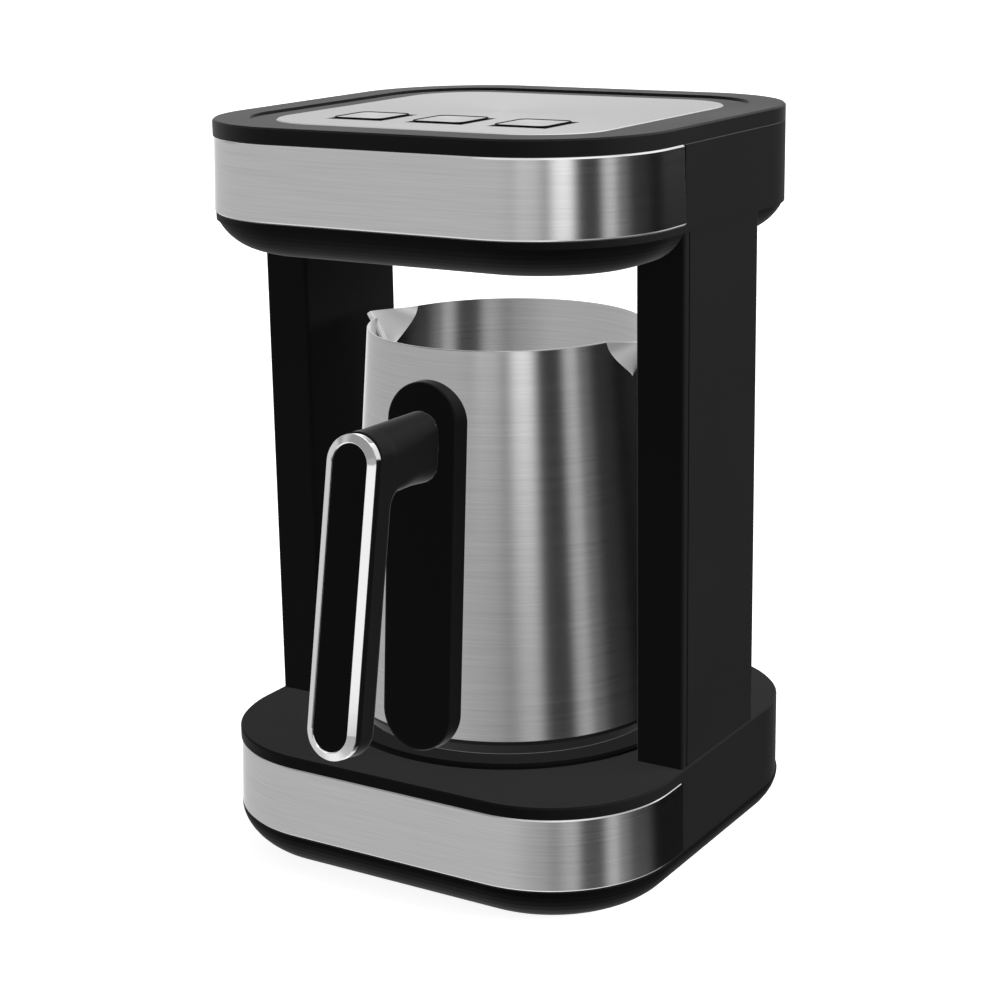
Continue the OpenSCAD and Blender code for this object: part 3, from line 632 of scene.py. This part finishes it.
class COFFEE_OT_controls(CoffeeOperator):
    """Finishes the control panel, and models its three keys"""
    bl_idname = "coffee.controls"
    bl_label = "Panel and keys"

    def execute(self, context):
        steel = self.settings.steel
        # The panel's sides and a border round each key get painted shade
        panel = brushed_steel("panel_steel", steel, "y", roughness=0.36, anisotropy=0.3, streak=0.6,
                              unshaded=self.panel_painted_shade)
        wear_finish(panel, "control_panel")
        plate = brushed_steel("key_steel", steel, "y", roughness=0.34, anisotropy=0.3, streak=0.5,
                              level=1.04)
        edge = moulding("key_plastic", grey(0.003), self.settings.moulding.texture)
        for side in KEYS:
            self.rimmed_key(side, edge, plate)
        return {"FINISHED"}

    def panel_painted_shade(self, shader, at):
        """1 on the panel's top, and 0 where its steel is painted black as shade: on its sides, and in
        a square border round each key for the shade in the gap.
        """
        edge, edge_blur, border_blur = 0.25 * MM, 0.1 * MM, 0.05 * MM
        shade_border = self.settings.control.shade_border
        x, y, z = shader.split(at)
        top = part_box("control_panel")[1].z - edge
        # Painted shade: black on the sides below the top's edge, and in a square border round each
        # key
        unshaded = z.rise(top - edge_blur, top)
        for side in KEYS:
            key = KeySolid(side)
            away = abs(x - key.x).maths("MAXIMUM", abs(y - key.y)) - key.wall_half
            unshaded = unshaded * away.rise(shade_border, shade_border + border_blur)
        return unshaded

    def rimmed_key(self, side, edge, plate):
        """A black key on its flange, with a raised edge round a steel plate."""
        control, key = self.settings.control, KeySolid(side)
        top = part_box("control_panel")[1].z + control.proud
        soft, least_corner, sharp_angle = 0.12 * MM, 0.5 * MM, math.radians(30)
        inner = key.wall_half - control.rim
        rings = [(key.flange_half, key.foot), (key.flange_half, key.flange_top),
                 (key.wall_half, key.flange_top), (key.wall_half, top - soft),
                 (key.wall_half - soft, top), (inner, top), (inner, top - control.sink)]
        points = []
        for half, z in rings:
            corner = max(control.corner - max(key.wall_half - half, 0), least_corner)
            points += [(key.x + x, key.y + y, z) for x, y in rounded_square(half, corner)]
        across = len(points) // len(rings)
        underside = tuple(range(across))[::-1]
        plate_face = tuple(range(len(points) - across, len(points)))
        faces = row_faces(len(rings), across, closed=True) + [underside, plate_face]
        piece = new_piece("key_" + side + "_cap", points, faces, side + "_key", edge,
                          ["key_" + side])
        piece.data.materials.append(plate)
        piece.data.polygons[-1].material_index = 1
        piece.modifiers.new("edges", "EDGE_SPLIT").split_angle = sharp_angle


class COFFEE_OT_pot(CoffeeOperator):
    """Finishes the pot and its foot, and models its two spouts as smooth sheets"""
    bl_idname = "coffee.pot"
    bl_label = "Pot"

    def execute(self, context):
        steel, texture = self.settings.steel, self.settings.moulding.texture
        wear_finish(brushed_steel("pot_steel", steel, "z", level=0.86), "pot_body")
        wear_finish(moulding("pot_foot_plastic", grey(0.005), texture, roughness=0.4, specular=0.12),
                    "pot_foot")
        sheet = brushed_steel("spout_steel", steel, "z", roughness=0.38, anisotropy=0.0, streak=0.4)
        for side, name in ((-1, "left"), (1, "right")):
            self.spout(side, name, sheet)
        return {"FINISHED"}

    def spout(self, side, name, material):
        """A sheet from the wall round the tip and back, rolled out further towards the rim."""
        spout = self.settings.spout
        foot_z, rim_z = (corner.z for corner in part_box("pot_body"))
        axis = middle("pot_body")
        rim, foot = self.wall_radii()
        overlap, least_half, tip_curve, sharp_angle = 0.6 * MM, 0.3 * MM, 1.15, math.radians(50)
        # up goes from 0 at the spout's foot to 1 at the rim, and aside from -1 to 1 across it
        points = []
        for row in range(spout.rows + 1):
            up = row / spout.rows
            z = rim_z - spout.height * (1 - up)
            radius = rim + (foot - rim) * (1 - up) * spout.height / (rim_z - foot_z)
            half = max(spout.width / 2 * math.sin(math.pi / 2 * up), least_half)
            start = math.sqrt(radius ** 2 - half ** 2) - overlap
            tip = radius + spout.reach * up ** tip_curve
            for column in range(spout.columns + 1):
                aside = 2 * column / spout.columns - 1
                swell = 1 - abs(aside) ** spout.roundness
                points.append((axis.x + side * (start + (tip - start) * swell),
                               axis.y + half * aside, z - spout.drop * up * up * swell))
        faces = row_faces(spout.rows + 1, spout.columns + 1)
        if side < 0:
            faces = [face[::-1] for face in faces]
        piece = new_piece("spout_" + name + "_sheet", points, faces, "pot", material,
                          ["spout_" + name])
        thicken = piece.modifiers.new("sheet", "SOLIDIFY")
        thicken.thickness = spout.sheet
        thicken.offset = -1.0
        thicken.use_even_offset = True
        piece.modifiers.new("rim", "EDGE_SPLIT").split_angle = sharp_angle

    def wall_radii(self):
        """Radius of the pot's wall at its rim, and at its foot, where it is widest."""
        points, axis = points_of("pot_body"), middle("pot_body")
        radius = np.hypot(points[:, 0] - axis.x, points[:, 1] - axis.y)
        near_rim = points[:, 2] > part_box("pot_body")[1].z - NEAR
        return radius[near_rim].max(), radius.max()


class COFFEE_OT_handle(CoffeeOperator):
    """Models the handle's moulding, and finishes the plate, the bright ring and the inlay"""
    bl_idname = "coffee.handle"
    bl_label = "Handle"

    def execute(self, context):
        plastics = self.settings.moulding
        plastic = moulding("handle_plastic", plastics.handle, plastics.texture, roughness=0.42)
        wear_finish(plastic, "handle_plate")
        wear_finish(polished("ring_chrome", (0.80, 0.80, 0.81)), "grip_trim")
        wear_finish(moulding("inlay_plastic", grey(0.008), plastics.texture, roughness=0.3),
                    "grip_inlay")
        self.moulded_grip(plastic)
        return {"FINISHED"}

    def moulded_grip(self, plastic):
        """The arm and the grip as one smooth surface, from the plate to the back of the ring."""
        handle = self.settings.handle
        sin, cos = math.sin(handle.lean), math.cos(handle.lean)
        arm_sin, arm_cos = math.sin(handle.plate_lean), math.cos(handle.plate_lean)
        (face, low), (back, high) = leaning_box("grip_trim", handle.lean)
        ring_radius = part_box("grip_trim")[1].x
        inset, taper_end, early = 0.05 * MM, 40 * MM, 0.3
        grip_radius = ring_radius - inset
        span = (high - low) / 2 - ring_radius
        centre = (high + low) / 2
        plate_face = leaning_box("handle_plate", handle.plate_lean)[0][0]
        arm_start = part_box("handle_plate")[0].y
        arm_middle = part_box("handle_grip")[1].z - handle.arm_drop - handle.arm_height / 2
        arm_half = handle.arm_width / 2

        def distance(x, y, z):
            # Seen from the grip: how deep from the ring, and how far along from the middle
            depth = y * cos - z * sin
            along = y * sin + z * cos - centre
            # Seen from the plate: how far out, and how far above the arm's middle
            out = plate_face - (y * arm_cos - z * arm_sin)
            up = (y - arm_start) * arm_sin + (z - arm_middle) * arm_cos
            # The arm widens into the grip, faster at first, and gets lower
            share = np.clip(out / handle.arm_reach, 0, 1)
            widening = share * (1 + early - early * share * share)
            half_width = arm_half + (grip_radius - arm_half) * widening
            half_height = handle.arm_height / 2 - handle.arm_taper * np.clip(out, 0, taper_end)
            # Both sides stand round everything but the room under the arm and behind the grip
            behind = depth - face - handle.depth
            profile = -rounded_meet(up + half_height, -behind, handle.hollow)
            rounding = arm_half + (handle.edge - arm_half) * ease(share, 0.25, 0.95)
            walls = rounded_meet(np.abs(x) - half_width, profile, rounding)
            # Within the sides, the grip is a slot shape and the arm has a round top
            grip = rounded_meet(stadium(x, along, span, grip_radius), behind, handle.edge)
            arm = np.hypot(x, np.maximum(up - half_height + half_width, 0)) - half_width
            arm = np.maximum(arm, -up - half_height - 2 * handle.hollow)
            joined = smooth_join(grip, arm, handle.join)
            return np.maximum(np.maximum(walls, joined), np.maximum(back - depth, -out))

        low_corner, high_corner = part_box("handle_grip")
        room = Vector((2, 2, 2)) * MM
        points, faces = surface_of(distance, low_corner - room, high_corner + room, handle.cell)
        new_piece("grip_moulding", points, faces, "pot", plastic, ["handle_grip"])


class COFFEE_OT_inside(CoffeeOperator):
    """Finishes the pieces inside the base, the columns, the head and the pot's foot"""
    bl_idname = "coffee.inside"
    bl_label = "Inner pieces"

    def execute(self, context):
        zinc = coloured("zinc_plate", (0.55, 0.56, 0.57), 0.35, metallic=1.0)
        wear_finish(zinc, "base_screws", "power_board_screws", "tie_rods", "tie_nuts", "bowl_screws",
                    "board_nuts", "pot_screws", "handle_screw", "handle_bracket")
        wear_finish(coloured("contact_brass", (0.78, 0.58, 0.27), 0.25, metallic=1.0),
                    "contact_pins", "pot_contacts")
        wear_finish(coloured("board_lacquer", (0.02, 0.12, 0.045), 0.3, coat=0.5),
                    "power_board", "sensor_board", "control_board")
        wear_finish(coloured("dark_component", (0.03, 0.03, 0.033), 0.4), "contact_block",
                    "switch_bodies", "buzzer", "controller_chip")
        wear_finish(coloured("plunger_plastic", (0.12, 0.12, 0.13), 0.4), "plunger_left",
                    "plunger_middle", "plunger_right")
        wear_finish(coloured("relay_case", (0.02, 0.07, 0.22), 0.25), "relay")
        wear_finish(coloured("coil_tape", (0.45, 0.27, 0.07), 0.5, scale=700.0), "transformer")
        wear_finish(coloured("can_sleeve", (0.02, 0.03, 0.08), 0.3), "capacitors")
        wear_finish(coloured("loom_sleeve", (0.03, 0.03, 0.034), 0.55, scale=900.0), "wire_loom")
        wear_finish(coloured("sensor_glass", (0.05, 0.006, 0.01), 0.08, coat=1.0), "sensor_window")
        wear_finish(coloured("diode_epoxy", (0.03, 0.03, 0.06), 0.12), "sensor_diodes")
        wear_finish(coloured("cast_aluminium", (0.68, 0.69, 0.70), 0.45, metallic=1.0),
                    "heater_plate")
        wear_finish(coloured("heater_sheath", (0.22, 0.20, 0.18), 0.5, metallic=0.8), "heater_tube")
        wear_finish(coloured("steatite", (0.70, 0.66, 0.56), 0.5), "thermostat")
        return {"FINISHED"}


class COFFEE_OT_stage(CoffeeOperator):
    """Makes the floor, the studio light and the camera"""
    bl_idname = "coffee.stage"
    bl_label = "Studio"

    def execute(self, context):
        stage = self.settings.stage
        self.floor(stage)
        self.studio()
        self.side_light(stage)
        self.camera(stage)
        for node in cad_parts.values():
            node.visible_glossy = False
        context.scene.view_settings.view_transform = "Standard"
        return {"FINISHED"}

    def floor(self, stage):
        """A wide white floor. Reflections show the studio's table in its place."""
        size = 30.0
        mesh = bpy.data.meshes.new("floor")
        corners = [(-size, -size, 0), (size, -size, 0), (size, size, 0), (-size, size, 0)]
        mesh.from_pydata(corners, [], [(0, 1, 2, 3)])
        material, shader = new_material("pale_floor")
        cloud = shader.noise(shader.place(), scale=3.0, detail=2.0)
        colour = shader.mix(tint(stage.floor, 0.995), tint(stage.floor, 1.005), cloud)
        shader.surface(base_color=colour, roughness=0.8, specular=0.0,
                       emission_color=WHITE, emission_strength=stage.glow)
        mesh.materials.append(material)
        plane = bpy.data.objects.new("floor", mesh)
        plane.visible_glossy = False
        plane.visible_diffuse = False
        bpy.context.scene.collection.objects.link(plane)

    def studio(self):
        """White to the camera, walls and screens to reflections, and a soft dome to other light."""
        world = bpy.data.worlds.new("studio")
        bpy.context.scene.world = world
        shader = Shader(world)
        x, y, z = shader.split(shader.out("ShaderNodeTexCoord", output="Generated"))
        glossy = shader.out("ShaderNodeLightPath", output="Is Glossy Ray")
        seen = shader.out("ShaderNodeLightPath", output="Is Camera Ray")
        dome = 0.05 + 0.09 * z.rise(-0.3, 0.5) + 0.10 * (x * -1.0).rise(0.0, 1.0)
        dome = dome + 0.35 * y.rise(0.1, 1.0)
        turn = x.maths("ARCTAN2", y * -1.0) * (180 / math.pi)
        strength = self.reflected(turn, z) * glossy + dome * (1 - glossy) + seen
        made = shader.node("ShaderNodeBackground", {}, {"Color": WHITE, "Strength": strength})
        shader.node("ShaderNodeOutputWorld", {}, {"Surface": Sock(shader, made.outputs[0])})

    def reflected(self, turn, z):
        """The studio in reflections. Turn is 0 in front of the machine, 90 on the right and -90 on
        the left, and z is 0 at the horizon, 1 straight above and -1 straight below."""

        def screen(at, half, soft):
            """1 on an upright screen at that turn, and 0 beside it."""
            return 1 - abs(turn - at).rise(half - soft, half + soft)

        room = 0.008
        left_wall = 0.48 * (1 - turn.rise(48.0, 58.0)) + 0.22 * (1 - turn.rise(-12.0, 24.0))
        wall_gap = 0.16 * screen(33.0, 6.0, 5.0)
        front_panel = 0.65 * screen(16.0, 10.0, 5.0) * z.rise(-0.07, -0.04) * (1 - z.rise(0.14, 0.18))
        bright_screen = (0.06 + 1.6 * z.rise(-0.12, -0.02)) * screen(43.0, 9.5, 5.5)
        faint_screen = 0.03 * screen(64.0, 8.0, 6.0)
        right_screen = (0.56 + 0.4 * z.rise(-0.12, 0.0)) * screen(82.0, 6.0, 4.0)
        right_glow = 0.18 * screen(92.0, 8.0, 6.0) + 0.03 * screen(105.0, 18.0, 8.0)
        right_table = 0.18 * (1 - z.rise(-0.46, -0.34)) * screen(88.0, 40.0, 8.0)
        back_strip = 0.45 * turn.rise(172.0, 180.0)
        back_screen = 0.5 * screen(-145.0, 16.0, 12.0) * (1 - z.rise(0.15, 0.35))
        table = 0.4 * (1 - z.rise(-0.8, -0.65))
        walls = room + left_wall - wall_gap + front_panel + bright_screen + faint_screen
        walls = walls + right_screen + right_glow + right_table + back_strip + back_screen + table
        ceiling = 0.36 + 0.81 * z.rise(0.82, 0.90)
        ceiling = ceiling + 0.35 * z.rise(0.42, 0.60) * (1 - screen(-20.0, 45.0, 12.0))
        above = z.rise(0.30, 0.46)
        back_window = 0.9 * turn.rise(136.0, 144.0) * z.rise(0.0, 0.08)
        return walls * (1 - above) + ceiling * above + back_window

    def side_light(self, stage):
        """A wide, even light from the right and a little behind. Reflections don't show it."""
        light = bpy.data.lights.new("side_light", "SUN")
        light.angle = stage.spread
        light.energy = stage.strength
        lamp = bpy.data.objects.new("side_light", light)
        lamp.rotation_euler = (-Vector(stage.light)).to_track_quat("-Z", "Y").to_euler()
        lamp.visible_glossy = False
        bpy.context.scene.collection.objects.link(lamp)

    def camera(self, stage):
        """The camera, aimed by its yaw, pitch and roll."""
        yaw, pitch, roll = stage.yaw, stage.pitch, stage.roll
        ahead = Vector((-math.sin(yaw) * math.cos(pitch), math.cos(yaw) * math.cos(pitch),
                        -math.sin(pitch)))
        level = Vector((math.cos(yaw), math.sin(yaw), 0))
        up = level.cross(ahead)
        right = level * math.cos(roll) + up * math.sin(roll)
        top = up * math.cos(roll) - level * math.sin(roll)
        base = middle("base_cover")
        place = Vector(stage.camera) + Vector((base.x, base.y, 0))
        data = bpy.data.cameras.new("camera")
        data.lens = stage.lens
        data.sensor_width = 36.0
        data.shift_y = stage.rise
        data.clip_start, data.clip_end = 0.01, 100.0
        camera = bpy.data.objects.new("camera", data)
        turn = Matrix((right, top, -ahead)).transposed().to_4x4()
        camera.matrix_world = Matrix.Translation(place) @ turn
        bpy.context.scene.collection.objects.link(camera)
        bpy.context.scene.camera = camera


class COFFEE_PT_panel(bpy.types.Panel):
    """The steps of the coffee maker, in order"""
    bl_idname = "COFFEE_PT_panel"
    bl_label = "Coffee maker"
    bl_space_type = "VIEW_3D"
    bl_region_type = "UI"
    bl_category = "Coffee maker"

    def draw(self, context):
        for step in STEPS:
            self.layout.operator(step.bl_idname)


STEPS = (COFFEE_OT_housing, COFFEE_OT_bands, COFFEE_OT_controls, COFFEE_OT_pot, COFFEE_OT_handle,
         COFFEE_OT_inside, COFFEE_OT_stage)
CLASSES = (SteelSettings, MouldingSettings, ControlSettings, HandleSettings, SpoutSettings,
           StageSettings, CoffeeSettings, *STEPS, COFFEE_PT_panel)


def register():
    for cls in CLASSES:
        bpy.utils.register_class(cls)
    bpy.types.Scene.coffee_maker = bpy.props.PointerProperty(type=CoffeeSettings)


def unregister():
    del bpy.types.Scene.coffee_maker
    for cls in reversed(CLASSES):
        bpy.utils.unregister_class(cls)


def main():
    register()
    for step in STEPS:
        group, name = step.bl_idname.split(".")
        getattr(getattr(bpy.ops, group), name)()


if __name__ == "__main__":
    main()
